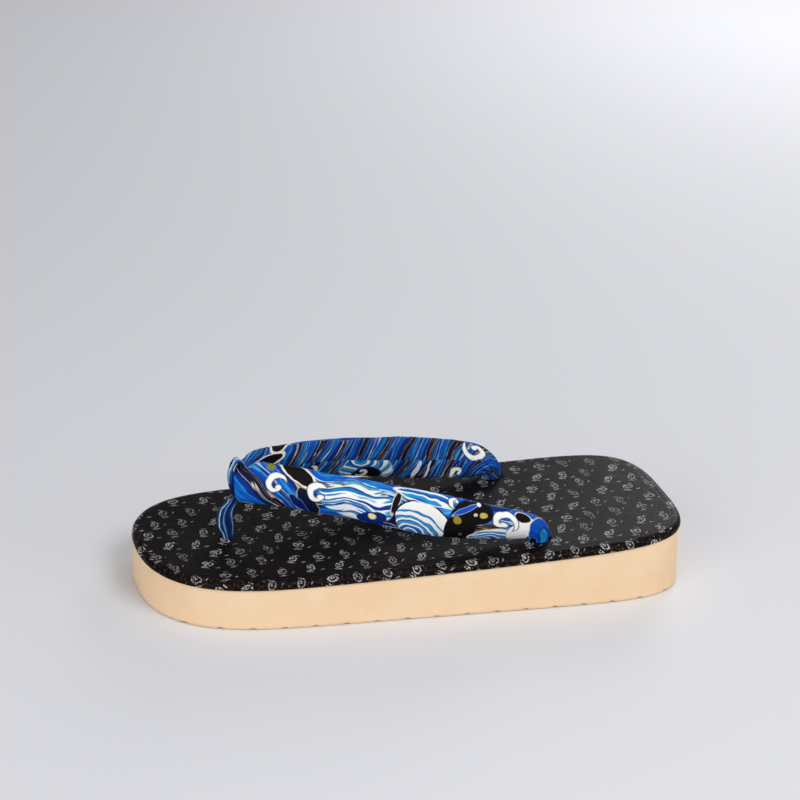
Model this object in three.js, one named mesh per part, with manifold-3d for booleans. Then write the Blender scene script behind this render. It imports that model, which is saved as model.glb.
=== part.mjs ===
// A thonged platform sandal: a foam wedge sole, a covered footbed, a padded V strap and a toe loop.
// Millimetres, +Z up, +Y towards the toe. The origin is on the floor under the middle of the sole.
import * as THREE from 'three';
import { mergeVertices } from 'three/addons/utils/BufferGeometryUtils.js';
import Module from 'manifold-3d';

const wasm = await Module();
wasm.setup();

// ---- Driving dimensions ----

const LENGTH = 253.4; // of the footbed
const WIDTH = 94.5;
const WIDEST_AT = 30; // fore position of the broadest line across the sole
const TOE_ROUND = { along: 4.4, across: 2.3 }; // powers of the outline's superellipse, toe half
const HEEL_ROUND = { along: 9.3, across: 3.4 }; // the same for the squarer heel half
const OUTLINE_STEPS = 120;
const FOAM_INSET = 0.8; // how far the foam's wall stands inside the footbed's edge

const TOE_HEIGHT = 19.5; // foam under the toe tip
const HEEL_HEIGHT = 29.7; // foam under the heel
const SAG = 2.5; // how far the foam's top dips below a straight line between them
const TOP_STEPS = 24;
const WALL_RAKE = { toe: 0.03, heel: 0.1 }; // how far the foam's walls lean back per mm of drop

const TREAD = { pitch: 14, wide: 5, deep: 0.7, reach: 8 }; // shallow grooves across the underside
const FIT_GAP = 0.3; // between pieces that touch

const BAND_SIDES = 16; // facets round the strap
const POST_SIDES = 12; // facets round the toe post
const STEPS_PER_ROW = 3; // sections made between two rows of a table

// Footbed: rings from its middle out over the rim and back under it. share is the distance from the
// middle to the edge, inset how far inside the outline that edge is, rise the height over the foam.
const PAD_HEIGHT = 3.7;
const PAD_RINGS = [
  { share: 0, inset: 3.8, rise: PAD_HEIGHT },
  { share: 0.3, inset: 3.8, rise: PAD_HEIGHT },
  { share: 0.6, inset: 3.8, rise: PAD_HEIGHT },
  { share: 0.85, inset: 3.8, rise: PAD_HEIGHT },
  { share: 1, inset: 3.8, rise: PAD_HEIGHT },
  { share: 1, inset: 2, rise: PAD_HEIGHT - 0.25 },
  { share: 1, inset: 0.8, rise: PAD_HEIGHT - 1 },
  { share: 1, inset: 0.1, rise: PAD_HEIGHT - 2.2 },
  { share: 1, inset: 0, rise: FIT_GAP },
  { share: 0.85, inset: 0, rise: FIT_GAP },
  { share: 0.6, inset: 0, rise: FIT_GAP },
  { share: 0.3, inset: 0, rise: FIT_GAP },
  { share: 0, inset: 0, rise: FIT_GAP },
];

// Right arm of the strap, from the bend at the toe back to its side hole. side and fore place the
// section's middle, rise is its height over the footbed, deep and thick are its size, lean tips its
// upper edge outwards and pitch turns it down into the hole (degrees).
const ARM = [
  { side: 0, fore: 81.4, rise: 27.6, deep: 19.4, thick: 7, lean: -10, pitch: 0 },
  { side: 5.6, fore: 75, rise: 28.7, deep: 20, thick: 7.4, lean: -7, pitch: 0 },
  { side: 11.9, fore: 60, rise: 27.8, deep: 19.4, thick: 7.5, lean: -6, pitch: 0 },
  { side: 17.4, fore: 45, rise: 26.1, deep: 19.1, thick: 7.5, lean: -5, pitch: 0 },
  { side: 21.7, fore: 30, rise: 23.7, deep: 19.4, thick: 7.5, lean: -5, pitch: 0 },
  { side: 25.4, fore: 15, rise: 20.6, deep: 20.3, thick: 7.5, lean: -5, pitch: 0 },
  { side: 28.7, fore: 0, rise: 17.4, deep: 21, thick: 7.5, lean: -2, pitch: 0 },
  { side: 31.1, fore: -15, rise: 14.3, deep: 20.3, thick: 7.4, lean: 6, pitch: 0 },
  { side: 32.6, fore: -30, rise: 11.4, deep: 18.5, thick: 7.2, lean: 15, pitch: 0 },
  { side: 33.3, fore: -39, rise: 9.6, deep: 17.1, thick: 7, lean: 18, pitch: 0 },
  { side: 33.6, fore: -45, rise: 8.2, deep: 15.2, thick: 6.8, lean: 19, pitch: 8 },
  { side: 33.3, fore: -48.4, rise: 6.4, deep: 12.4, thick: 6.5, lean: 16, pitch: 26 },
  { side: 32.8, fore: -50.1, rise: 4.6, deep: 10.9, thick: 6.2, lean: 11, pitch: 47 },
  { side: 32.3, fore: -51.2, rise: 2.7, deep: 10.2, thick: 5.8, lean: 5, pitch: 69 },
  { side: 32, fore: -51.5, rise: 0.6, deep: 9.8, thick: 5.5, lean: 0, pitch: 90 },
  { side: 32, fore: -51.5, rise: -4, deep: 9.6, thick: 5.4, lean: 0, pitch: 90 },
  { side: 32, fore: -51.5, rise: -12, deep: 9.4, thick: 5.2, lean: 0, pitch: 90 },
];
const INNER_FLAT = 0.15; // how far the strap's inner face is drawn in either side of its ridge

// Post of the toe loop, from under the strap's bend down into the front hole; the same columns.
const POST = [
  { side: 0, fore: 83.4, rise: 20, deep: 4, thick: 5, lean: 0, pitch: 90 },
  { side: 0, fore: 84.3, rise: 17, deep: 4, thick: 5, lean: 0, pitch: 90 },
  { side: 0, fore: 85.9, rise: 14.2, deep: 4.2, thick: 5, lean: 0, pitch: 90 },
  { side: 0, fore: 86.8, rise: 10.3, deep: 5, thick: 5, lean: 0, pitch: 90 },
  { side: 0, fore: 86.1, rise: 5.7, deep: 5.8, thick: 5, lean: 0, pitch: 90 },
  { side: 0, fore: 85.2, rise: 1.6, deep: 5.4, thick: 5, lean: 0, pitch: 90 },
  { side: 0, fore: 84.9, rise: -1, deep: 5, thick: 5, lean: 0, pitch: 90 },
  { side: 0, fore: 84.9, rise: -11, deep: 5, thick: 5, lean: 0, pitch: 90 },
];
// Ring of the toe loop round the strap's bend; bite is how far it presses into the padding.
const LOOP = { wide: 5, band: 1.8, bite: 0.4, round: 0.5, steps: 28 };

const SOCKET_SPARE = 0.8; // foam left clear below and round each end in its hole

// ---- Finishes ----

const FINISHES = {
  foam: new THREE.MeshStandardMaterial({ color: 0xf0d8b8, roughness: 0.85, metalness: 0 }),
  cover: new THREE.MeshStandardMaterial({ color: 0x2b2727, roughness: 0.5, metalness: 0 }),
  print: new THREE.MeshStandardMaterial({ color: 0x1c55b8, roughness: 0.7, metalness: 0 }),
  cord: new THREE.MeshStandardMaterial({ color: 0x26406e, roughness: 0.75, metalness: 0 }),
};

// ---- The sole's outline and heights ----

/** The sole's outline in plan: one superellipse half for the toe and a squarer one for the heel. */
class SoleOutline extends THREE.Curve {
  getPoint(t, target = new THREE.Vector2()) {
    const turn = (t % 1) * 4;
    const quarter = Math.floor(turn);
    const rising = quarter % 2 === 0 ? turn - quarter : 1 - (turn - quarter);
    const toeHalf = quarter < 2;
    const round = toeHalf ? TOE_ROUND : HEEL_ROUND;
    const reach = toeHalf ? LENGTH / 2 - WIDEST_AT : LENGTH / 2 + WIDEST_AT;
    const whole = rising ** round.along + (1 - rising) ** round.across;
    const side = (WIDTH / 2) * ((1 - rising) / whole ** (1 / round.across));
    const fore = reach * (rising / whole ** (1 / round.along));
    const leftHalf = quarter === 1 || quarter === 2;
    return target.set(leftHalf ? -side : side, WIDEST_AT + (toeHalf ? fore : -fore));
  }
}

/** Points round the outline, moved inwards by a distance, anticlockwise from the right side. */
function outlinePoints(inset) {
  const outline = new SoleOutline();
  outline.arcLengthDivisions = OUTLINE_STEPS * 6;
  return Array.from({ length: OUTLINE_STEPS }, (_, i) => {
    const point = outline.getPointAt(i / OUTLINE_STEPS);
    const along = outline.getTangentAt(i / OUTLINE_STEPS);
    return new THREE.Vector2(point.x - along.y * inset, point.y + along.x * inset);
  });
}

/** Height of the foam's top at a place along the sole. */
function foamTop(fore) {
  const back = THREE.MathUtils.clamp(0.5 - fore / LENGTH, 0, 1);
  return THREE.MathUtils.lerp(TOE_HEIGHT, HEEL_HEIGHT, back) - SAG * 4 * back * (1 - back);
}

/** Leans an upright block's walls, square to the sloping top, so the floor edge stands further back. */
function rakeWalls(geometry) {
  const position = geometry.attributes.position;
  for (let i = 0; i < position.count; i += 1) {
    const fore = position.getY(i);
    const rake = THREE.MathUtils.lerp(WALL_RAKE.heel, WALL_RAKE.toe, fore / LENGTH + 0.5);
    position.setY(i, fore - rake * (foamTop(fore) - position.getZ(i)));
  }
  return geometry;
}

/** Height of the footbed's top at a place along the sole. */
function padTop(fore) {
  return foamTop(fore) + PAD_HEIGHT;
}

// ---- Solids ----

/** A closed three.js geometry as a solid that can be joined and cut. */
function toSolid(geometry) {
  const bare = geometry.clone();
  bare.deleteAttribute('normal');
  bare.deleteAttribute('uv');
  const merged = mergeVertices(bare, 1e-4);
  return new wasm.Manifold(
    new wasm.Mesh({
      numProp: 3,
      vertProperties: new Float32Array(merged.attributes.position.array),
      triVerts: new Uint32Array(merged.index.array),
    }),
  );
}

/** A joined or cut solid as a geometry again. */
function toGeometry(solid) {
  const mesh = solid.getMesh();
  const geometry = new THREE.BufferGeometry();
  geometry.setAttribute('position', new THREE.BufferAttribute(mesh.vertProperties, 3));
  geometry.setIndex(new THREE.BufferAttribute(mesh.triVerts, 1));
  geometry.computeVertexNormals();
  return geometry;
}

/** Stands a shape drawn in fore and height across the sole, centred on its middle line. */
function acrossSole(shape, wide, options) {
  const geometry = new THREE.ExtrudeGeometry(shape, options);
  geometry.computeBoundingBox();
  const { min, max } = geometry.boundingBox;
  geometry.translate(0, 0, -(min.z + max.z) / 2);
  geometry.scale(1, 1, wide / (max.z - min.z));
  const axes = new THREE.Matrix4().makeBasis(
    new THREE.Vector3(0, 1, 0),
    new THREE.Vector3(0, 0, 1),
    new THREE.Vector3(1, 0, 0),
  );
  return geometry.applyMatrix4(axes);
}

/** Middle and half axes of the section at a share t of the way along a table of rows. */
function sectionsOf(rows) {
  const curve = (place) => new THREE.CatmullRomCurve3(rows.map(place), false, 'centripetal');
  const route = curve((row) => new THREE.Vector3(row.side, row.fore, padTop(row.fore) + row.rise));
  const sizes = curve((row) => new THREE.Vector3(row.deep, row.thick, 0));
  const turns = curve((row) => new THREE.Vector3(row.lean, row.pitch, 0));
  return (t) => {
    const size = sizes.getPoint(t);
    const turn = turns.getPoint(t).multiplyScalar(THREE.MathUtils.DEG2RAD);
    const up = new THREE.Vector3(0, -Math.sin(turn.y), Math.cos(turn.y));
    const out = up.clone().cross(route.getTangent(t)).normalize();
    const leaned = up.clone().multiplyScalar(Math.cos(turn.x)).addScaledVector(out, Math.sin(turn.x));
    out.multiplyScalar(Math.cos(turn.x)).addScaledVector(up, -Math.sin(turn.x));
    return {
      middle: route.getPoint(t),
      up: leaned.multiplyScalar(size.x / 2),
      out: out.multiplyScalar(size.y / 2),
    };
  };
}

/** A closed band swept through a table of rows; innerFlat draws its inner face in to a soft ridge. */
function sweptBand(rows, sides, innerFlat) {
  const steps = (rows.length - 1) * STEPS_PER_ROW;
  const geometry = new THREE.CylinderGeometry(1, 1, 1, sides, steps);
  const sectionAt = sectionsOf(rows);
  const position = geometry.attributes.position;
  for (let i = 0; i < position.count; i += 1) {
    const section = sectionAt(position.getY(i) + 0.5);
    const up = -position.getZ(i);
    const round = position.getX(i);
    const out = round < 0 ? round * (1 - innerFlat * Math.abs(2 * round * up)) : round;
    const point = section.middle.addScaledVector(section.up, up).addScaledVector(section.out, out);
    position.setXYZ(i, point.x, point.y, point.z);
  }
  return geometry;
}

/** Upright rounded hole under the last row of a table, from above the footbed down past that end. */
function socket(row) {
  const slot = new THREE.Shape();
  const half = { across: row.thick / 2 + SOCKET_SPARE, along: row.deep / 2 + SOCKET_SPARE };
  slot.absellipse(row.side, row.fore, half.across, half.along, 0, Math.PI * 2);
  const floor = padTop(row.fore) + row.rise - SOCKET_SPARE;
  const depth = -row.rise + PAD_HEIGHT;
  const geometry = new THREE.ExtrudeGeometry(slot, { depth, bevelEnabled: false, curveSegments: 10 });
  return toSolid(geometry.translate(0, 0, floor));
}

/** The three holes for the strap's ends and the toe post, as one solid to cut with. */
function sockets() {
  const tail = ARM.at(-1);
  return socket(tail)
    .add(socket({ ...tail, side: -tail.side }))
    .add(socket(POST.at(-1)));
}

// ---- Pieces ----

/** Foam wedge: the outline cut to a side view with a sagging top and a ribbed, flat-faced underside. */
function makeSole() {
  const spare = 10;
  const side = new THREE.Shape();
  side.moveTo(-LENGTH / 2 - spare, 0);
  for (let i = -TREAD.reach; i <= TREAD.reach; i += 1) {
    const middle = i * TREAD.pitch;
    side.lineTo(middle - TREAD.wide / 2, 0);
    side.quadraticCurveTo(middle, TREAD.deep * 2, middle + TREAD.wide / 2, 0);
  }
  side.lineTo(LENGTH / 2 + spare, 0);
  for (let i = 0; i <= TOP_STEPS; i += 1) {
    const fore = LENGTH / 2 + spare - (i / TOP_STEPS) * (LENGTH + 2 * spare);
    side.lineTo(fore, foamTop(fore));
  }
  side.closePath();
  const options = { depth: 1, bevelEnabled: false, curveSegments: 4 };
  const wedge = toSolid(acrossSole(side, WIDTH + 2 * spare, options));
  const depth = HEEL_HEIGHT + 2 * spare;
  const plan = new THREE.Shape(outlinePoints(FOAM_INSET));
  const block = new THREE.ExtrudeGeometry(plan, { depth, bevelEnabled: false });
  rakeWalls(block.translate(0, 0, -spare));
  return toSolid(block).intersect(wedge).subtract(sockets());
}

/** Covered pad on the foam, with a rounded rim set a little inside the foam's edge. */
function makeFootbed() {
  const profile = PAD_RINGS.map((ring) => new THREE.Vector2(ring.share, ring.rise));
  const geometry = new THREE.LatheGeometry(profile.reverse(), OUTLINE_STEPS);
  const rings = PAD_RINGS.toReversed().map((ring) => ({ ...ring, edge: outlinePoints(ring.inset) }));
  const position = geometry.attributes.position;
  for (let i = 0; i < position.count; i += 1) {
    const ring = rings[i % rings.length];
    const edge = ring.edge[Math.floor(i / rings.length) % OUTLINE_STEPS];
    const fore = edge.y * ring.share;
    position.setXYZ(i, edge.x * ring.share, fore, foamTop(fore) + ring.rise);
  }
  return toSolid(geometry).subtract(sockets());
}

/** Upright oval the shape of the strap's section at its bend, a spare wider all round. */
function bendOval(spare) {
  const bend = ARM[0];
  const half = { across: bend.thick / 2 + spare, up: bend.deep / 2 + spare };
  const lean = THREE.MathUtils.degToRad(-bend.lean);
  const oval = new THREE.Shape();
  const height = padTop(bend.fore) + bend.rise;
  return oval.absellipse(bend.fore, height, half.across, half.up, 0, Math.PI * 2, false, lean);
}

/** Fabric loop: a ring round the strap's bend, joined to the post that goes down the front hole. */
function makeToeLoop(grow) {
  const wide = LOOP.wide + 2 * grow;
  const block = acrossSole(bendOval(LOOP.band - LOOP.bite + grow), wide, {
    depth: LOOP.wide,
    bevelThickness: LOOP.round,
    bevelSize: LOOP.round,
    bevelOffset: -LOOP.round,
    bevelSegments: 2,
    curveSegments: LOOP.steps,
  });
  const options = { depth: 1, bevelEnabled: false, curveSegments: LOOP.steps };
  const opening = acrossSole(bendOval(-LOOP.bite - grow), wide + LOOP.wide, options);
  const rows = POST.map((row) => ({ ...row, deep: row.deep + 2 * grow, thick: row.thick + 2 * grow }));
  const post = toSolid(sweptBand(rows, POST_SIDES, 0));
  return toSolid(block).add(post).subtract(toSolid(opening));
}

/** Both arms' rows in one run, from the left hole round the bend to the right hole. */
function bendRows() {
  const left = ARM.slice(1).reverse().map((row) => ({ ...row, side: -row.side }));
  return [...left, ...ARM];
}

/** Padded strap: both arms in one piece, pinched where the toe loop goes round the bend. */
function makeStrap() {
  return toSolid(sweptBand(bendRows(), BAND_SIDES, INNER_FLAT)).subtract(makeToeLoop(FIT_GAP));
}

// ---- Assembly ----

const PIECES = {
  sole: { solid: makeSole(), finish: FINISHES.foam },
  footbed: { solid: makeFootbed(), finish: FINISHES.cover },
  strap: { solid: makeStrap(), finish: FINISHES.print },
  toe_loop: { solid: makeToeLoop(0), finish: FINISHES.cord },
};

const group = new THREE.Group();
for (const [name, piece] of Object.entries(PIECES)) {
  const mesh = new THREE.Mesh(toGeometry(piece.solid), piece.finish);
  mesh.name = name;
  group.add(mesh);
}

// The raked heel reaches back past the footbed, so the whole is moved to centre it on the origin.
const middle = new THREE.Box3().setFromObject(group).getCenter(new THREE.Vector3());
group.children.forEach((mesh) => mesh.geometry.translate(0, -middle.y, 0));

export default group;
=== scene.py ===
"""One thonged platform sandal: a foam wedge, a covered footbed, a padded V strap and a toe loop.

Lengths are in metres in the row's frame: +Y towards the toe, +X to the right, +Z up.
"""

import logging
import math
from collections.abc import Callable, Sequence
from dataclasses import dataclass, field, replace
from enum import Enum

import bmesh
import bpy
from mathutils import Matrix, Vector, noise


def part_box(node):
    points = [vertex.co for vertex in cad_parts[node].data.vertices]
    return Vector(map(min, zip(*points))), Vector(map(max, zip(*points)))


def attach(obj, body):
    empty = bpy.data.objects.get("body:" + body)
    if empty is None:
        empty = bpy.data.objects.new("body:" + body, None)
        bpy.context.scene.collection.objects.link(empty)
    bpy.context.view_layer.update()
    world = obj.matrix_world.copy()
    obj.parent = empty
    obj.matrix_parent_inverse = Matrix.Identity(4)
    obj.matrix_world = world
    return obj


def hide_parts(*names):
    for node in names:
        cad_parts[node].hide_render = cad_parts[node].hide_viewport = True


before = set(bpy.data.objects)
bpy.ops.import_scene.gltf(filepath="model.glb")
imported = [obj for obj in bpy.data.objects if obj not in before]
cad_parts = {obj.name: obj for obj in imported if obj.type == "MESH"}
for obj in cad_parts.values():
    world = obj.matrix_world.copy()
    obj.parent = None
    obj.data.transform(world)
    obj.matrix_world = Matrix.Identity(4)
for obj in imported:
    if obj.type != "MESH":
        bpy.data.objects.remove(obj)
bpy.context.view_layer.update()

log = logging.getLogger("sandal")
MM = 0.001
CHART = 10  # units of the UV map "Cloth" in a metre
THREAD = 0.45  # pitch of the cotton's threads, in millimetres
OVAL_BLUR = 0.12  # half width over which a printed oval's edge softens, in millimetres
Socket = bpy.types.NodeSocket
Fed = Socket | float | tuple[float, ...]
Place = Callable[[float, float], Vector]


class Slot(Enum):
    """The record's material slots."""

    FOAM = "sole_foam"
    COVER = "footbed_cover"
    PRINT = "strap_print"
    LOOP = "loop_fabric"


def tint(code: str) -> tuple[float, float, float, float]:
    """Linear colour of a six digit hex code."""
    parts = [int(code[i : i + 2], 16) / 255 for i in (0, 2, 4)]
    return (*(p / 12.92 if p < 0.04 else ((p + 0.055) / 1.055) ** 2.4 for p in parts), 1.0)


def eased(value: float, low: float, high: float) -> float:
    """Smooth step from 0 at low to 1 at high."""
    share = min(max((value - low) / (high - low), 0.0), 1.0)
    return share * share * (3 - 2 * share)


# ---- Node graphs ----


class Graph:
    """Places and joins nodes in one node tree."""

    def __init__(self, tree: bpy.types.NodeTree) -> None:
        """Starts on an empty tree."""
        self.tree = tree

    def feed(self, socket: Socket, value: Fed) -> None:
        """Links a socket's source, or sets its number or colour."""
        if isinstance(value, bpy.types.NodeSocket):
            self.tree.links.new(value, socket)
        else:
            socket.default_value = value

    def node(
        self, kind: str, inputs: dict[str | int, Fed] | None = None, **settings: object
    ) -> bpy.types.Node:
        """Adds a node.

        Args:
            kind: its class, without the leading ShaderNode.
            inputs: what each input is fed, by name or number.
            settings: its properties.

        Returns:
            The node.
        """
        made = self.tree.nodes.new("ShaderNode" + kind)
        for name, value in settings.items():
            setattr(made, name, value)
        for name, value in (inputs or {}).items():
            self.feed(made.inputs[name], value)
        return made

    def math(self, operation: str, *values: Fed) -> Socket:
        """Result of a Math node on up to three values."""
        return self.node("Math", dict(enumerate(values)), operation=operation).outputs[0]

    def times(self, first: Fed, second: Fed) -> Socket:
        """Product of two values."""
        return self.math("MULTIPLY", first, second)

    def swing(self, value: Fed, size: Fed) -> Socket:
        """A value near 0.5 made one near 0, over a size."""
        return self.times(self.math("SUBTRACT", value, 0.5), size)

    def vector(self, operation: str, *values: Fed) -> Socket:
        """Result of a Vector Math node on vectors."""
        return self.node("VectorMath", dict(enumerate(values)), operation=operation).outputs[0]

    def length(self, value: Socket) -> Socket:
        """Length of a vector."""
        return self.node("VectorMath", {0: value}, operation="LENGTH").outputs["Value"]

    def split(self, value: Socket) -> tuple[Socket, Socket, Socket]:
        """The three parts of a vector."""
        parts = self.node("SeparateXYZ", {0: value}).outputs
        return parts[0], parts[1], parts[2]

    def join(self, x: Fed, y: Fed, z: Fed = 0.0) -> Socket:
        """A vector from its parts."""
        return self.node("CombineXYZ", {0: x, 1: y, 2: z}).outputs[0]

    def turned(self, value: Socket, angle: Fed) -> Socket:
        """A vector turned about the third axis."""
        made = self.node("VectorRotate", {"Vector": value, "Angle": angle}, rotation_type="Z_AXIS")
        return made.outputs[0]

    def scaled(self, value: Socket, size: tuple[float, float, float]) -> Socket:
        """A vector with each part multiplied."""
        return self.node("Mapping", {"Vector": value, "Scale": size}).outputs[0]

    def cloth(self) -> Socket:
        """Place on the cloth in millimetres, from the UV map "Cloth"."""
        return self.scaled(self.node("UVMap", uv_map="Cloth").outputs[0], (1 / CHART / MM, 1 / CHART / MM, 1))

    def between(
        self, value: Fed, start: float, end: float, low: float = 0.0, high: float = 1.0
    ) -> Socket:
        """Smooth step of a value.

        Args:
            value: what is read.
            start: where the step starts.
            end: where it ends, which may be lower.
            low: result before the start.
            high: result after the end.

        Returns:
            The stepped value.
        """
        inputs: dict[str | int, Fed] = {0: value, 1: start, 2: end, 3: low, 4: high}
        return self.node("MapRange", inputs, interpolation_type="SMOOTHSTEP").outputs[0]

    def mix(self, share: Fed, low: Fed, high: Fed, blend: str = "MIX") -> Socket:
        """Colour between two colours."""
        made = self.node("Mix", data_type="RGBA", blend_type=blend)
        for name, value in (("Factor_Float", share), ("A_Color", low), ("B_Color", high)):
            self.feed(next(s for s in made.inputs if s.identifier == name), value)
        return next(s for s in made.outputs if s.identifier == "Result_Color")

    def shaded(self, colour: Socket, value: Socket) -> Socket:
        """Colour multiplied by a value."""
        return self.mix(1.0, colour, self.join(value, value, value), "MULTIPLY")

    def ramp(self, value: Socket, stops: Sequence[tuple[float, str]]) -> Socket:
        """Colour ramp of a value.

        Args:
            value: what is read, 0 to 1.
            stops: place and hex colour of each stop, in order.

        Returns:
            The colour.
        """
        made = self.node("ValToRGB", {0: value})
        elements = made.color_ramp.elements
        while len(elements) < len(stops):
            elements.new(1.0)
        for element, (at, code) in zip(elements, stops):
            element.position = at
            element.color = tint(code)
        return made.outputs[0]

    def noise(self, vector: Socket, scale: Fed, detail: float = 2.0, distortion: float = 0.0) -> Socket:
        """Noise Texture's value, near 0.5."""
        inputs = {"Vector": vector, "Scale": scale, "Detail": detail, "Distortion": distortion}
        return self.node("TexNoise", inputs).outputs[0]

    def wander(self, vector: Socket, scale: float, detail: float) -> Socket:
        """Noise Texture's colour as a vector near 0."""
        made = self.node("TexNoise", {"Vector": vector, "Scale": scale, "Detail": detail})
        return self.vector("SUBTRACT", made.outputs[1], (0.5, 0.5, 0.5))

    def bump(self, shader: bpy.types.Node, height: Socket, strength: float, distance: float) -> None:
        """Roughens a shader's surface by a height."""
        made = self.node("Bump", {"Strength": strength, "Distance": distance, "Height": height})
        self.feed(shader.inputs["Normal"], made.outputs[0])

    def group(self, effect: "Effect", **inputs: Fed) -> dict[str, Socket]:
        """Places a shared effect and gives its outputs by name."""
        made = self.node("Group", node_tree=effect.tree)
        for name, value in inputs.items():
            self.feed(made.inputs[name.replace("_", " ").title()], value)
        return {s.name: s for s in made.outputs}


class Effect(Graph):
    """A node group with named sockets, shared by the finishes."""

    KINDS = {"v": "NodeSocketVector", "f": "NodeSocketFloat", "c": "NodeSocketColor"}

    def __init__(self, name: str, takes: dict[str, str], gives: dict[str, str]) -> None:
        """Makes the group's sockets.

        Args:
            name: the group's name.
            takes: kind letter of each input.
            gives: kind letter of each output.
        """
        super().__init__(bpy.data.node_groups.new(name, "ShaderNodeTree"))
        for way, sockets in (("INPUT", takes), ("OUTPUT", gives)):
            for label, kind in sockets.items():
                self.tree.interface.new_socket(label, in_out=way, socket_type=self.KINDS[kind])
        self.given = self.tree.nodes.new("NodeGroupInput").outputs
        self.out = self.tree.nodes.new("NodeGroupOutput").inputs


def oval_effect() -> Effect:
    """Group that measures how far a place is inside an oval, in the oval's own units."""
    takes = {"Vector": "v", "Place": "v", "Half": "v", "Turn": "f"}
    g = Effect("oval_field", takes, {"Inside": "f", "Ring": "f"})
    off = g.vector("SUBTRACT", g.given["Vector"], g.given["Place"])
    turned = g.turned(off, g.times(g.given["Turn"], -1.0))
    ring = g.length(g.vector("DIVIDE", turned, g.given["Half"]))
    half = g.split(g.given["Half"])
    inside = g.times(g.math("SUBTRACT", 1.0, ring), g.math("MINIMUM", half[0], half[1]))
    g.feed(g.out["Inside"], inside)
    g.feed(g.out["Ring"], ring)
    return g


def curl_effect(
    start: float = 0.3, opening: float = 0.13, thin: float = 0.07, swell: float = 0.21,
    taper: float = 0.3, head: float = 0.27, head_at: tuple[float, float] = (-0.2, -0.08),
) -> Effect:
    """Group that measures how far a place is inside a hook with a round head that opens into a tail.

    Args:
        start: radius of the hook's middle line at its head, to the curl's size, as all of these are.
        opening: how much that radius grows for each radian.
        thin: half width of the hook at its head.
        swell: how much wider it is half way round.
        taper: how much it narrows for each radian past its sweep.
        head: radius of the round head.
        head_at: middle of the head.

    Returns:
        The group.
    """
    takes = {"Vector": "v", "Place": "v", "Size": "f", "Turn": "f", "Hand": "f", "Sweep": "f"}
    g = Effect("curl_field", takes, {"Inside": "f"})
    off = g.vector("SUBTRACT", g.given["Vector"], g.given["Place"])
    x, y, _ = g.split(g.turned(off, g.times(g.given["Turn"], -1.0)))
    x = g.math("DIVIDE", x, g.given["Size"])
    y = g.times(g.math("DIVIDE", y, g.given["Size"]), g.given["Hand"])
    reach = g.length(g.join(x, y))
    angle = g.math("ADD", g.math("ARCTAN2", y, x), math.pi)
    past = g.math("MAXIMUM", g.math("SUBTRACT", angle, g.given["Sweep"]), 0.0)
    middle = g.math("MULTIPLY_ADD", angle, opening, start)
    wide = g.math("MULTIPLY_ADD", g.math("SINE", g.times(angle, 0.5)), swell, thin)
    stroke = g.math("SUBTRACT", g.math("ABSOLUTE", g.math("SUBTRACT", reach, middle)), wide)
    stroke = g.math("MULTIPLY_ADD", past, taper, stroke)
    from_head = g.join(g.math("SUBTRACT", x, head_at[0]), g.math("SUBTRACT", y, head_at[1]))
    nearest = g.math("MINIMUM", stroke, g.math("SUBTRACT", g.length(from_head), head))
    g.feed(g.out["Inside"], g.times(nearest, g.times(g.given["Size"], -1.0)))
    return g


def brush_effect(drawn_out: float = 0.12) -> Effect:
    """Group of brush streaks along the first axis, as a value near 1 for lighter and darker strokes."""
    g = Effect("brush_streaks", {"Vector": "v", "Fine": "f", "Amount": "f"}, {"Value": "f"})
    x, y, _ = g.split(g.given["Vector"])
    streak = g.noise(g.join(g.times(x, drawn_out), g.times(y, g.given["Fine"])), 1.0, 3.0)
    g.feed(g.out["Value"], g.math("ADD", g.swing(streak, g.given["Amount"]), 1.0))
    return g


def weave_effect() -> Effect:
    """Group of a plain weave's height, crossed threads a pitch apart."""
    g = Effect("plain_weave", {"Vector": "v", "Pitch": "f"}, {"Height": "f"})
    x, y, _ = g.split(g.given["Vector"])
    pitch = g.given["Pitch"]
    waves = [g.math("SINE", g.times(g.math("DIVIDE", part, pitch), math.tau)) for part in (x, y)]
    g.feed(g.out["Height"], g.math("MULTIPLY_ADD", g.times(*waves), 0.5, 0.5))
    return g


@dataclass
class Effects:
    """The shared effects, built once."""

    oval: Effect = field(default_factory=oval_effect)
    curl: Effect = field(default_factory=curl_effect)
    brush: Effect = field(default_factory=brush_effect)
    weave: Effect = field(default_factory=weave_effect)


# ---- Finishes ----


def new_material(name: str, roughness: float = 0.5) -> tuple[bpy.types.Material, Graph, bpy.types.Node]:
    """An empty material with a Principled BSDF.

    Args:
        name: the material's name.
        roughness: its plain roughness.

    Returns:
        The material, its graph and the shader.
    """
    material = bpy.data.materials.new(name)
    material.use_nodes = True
    graph = Graph(material.node_tree)
    shader = material.node_tree.nodes["Principled BSDF"]
    shader.inputs["Roughness"].default_value = roughness
    return material, graph, shader


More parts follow.
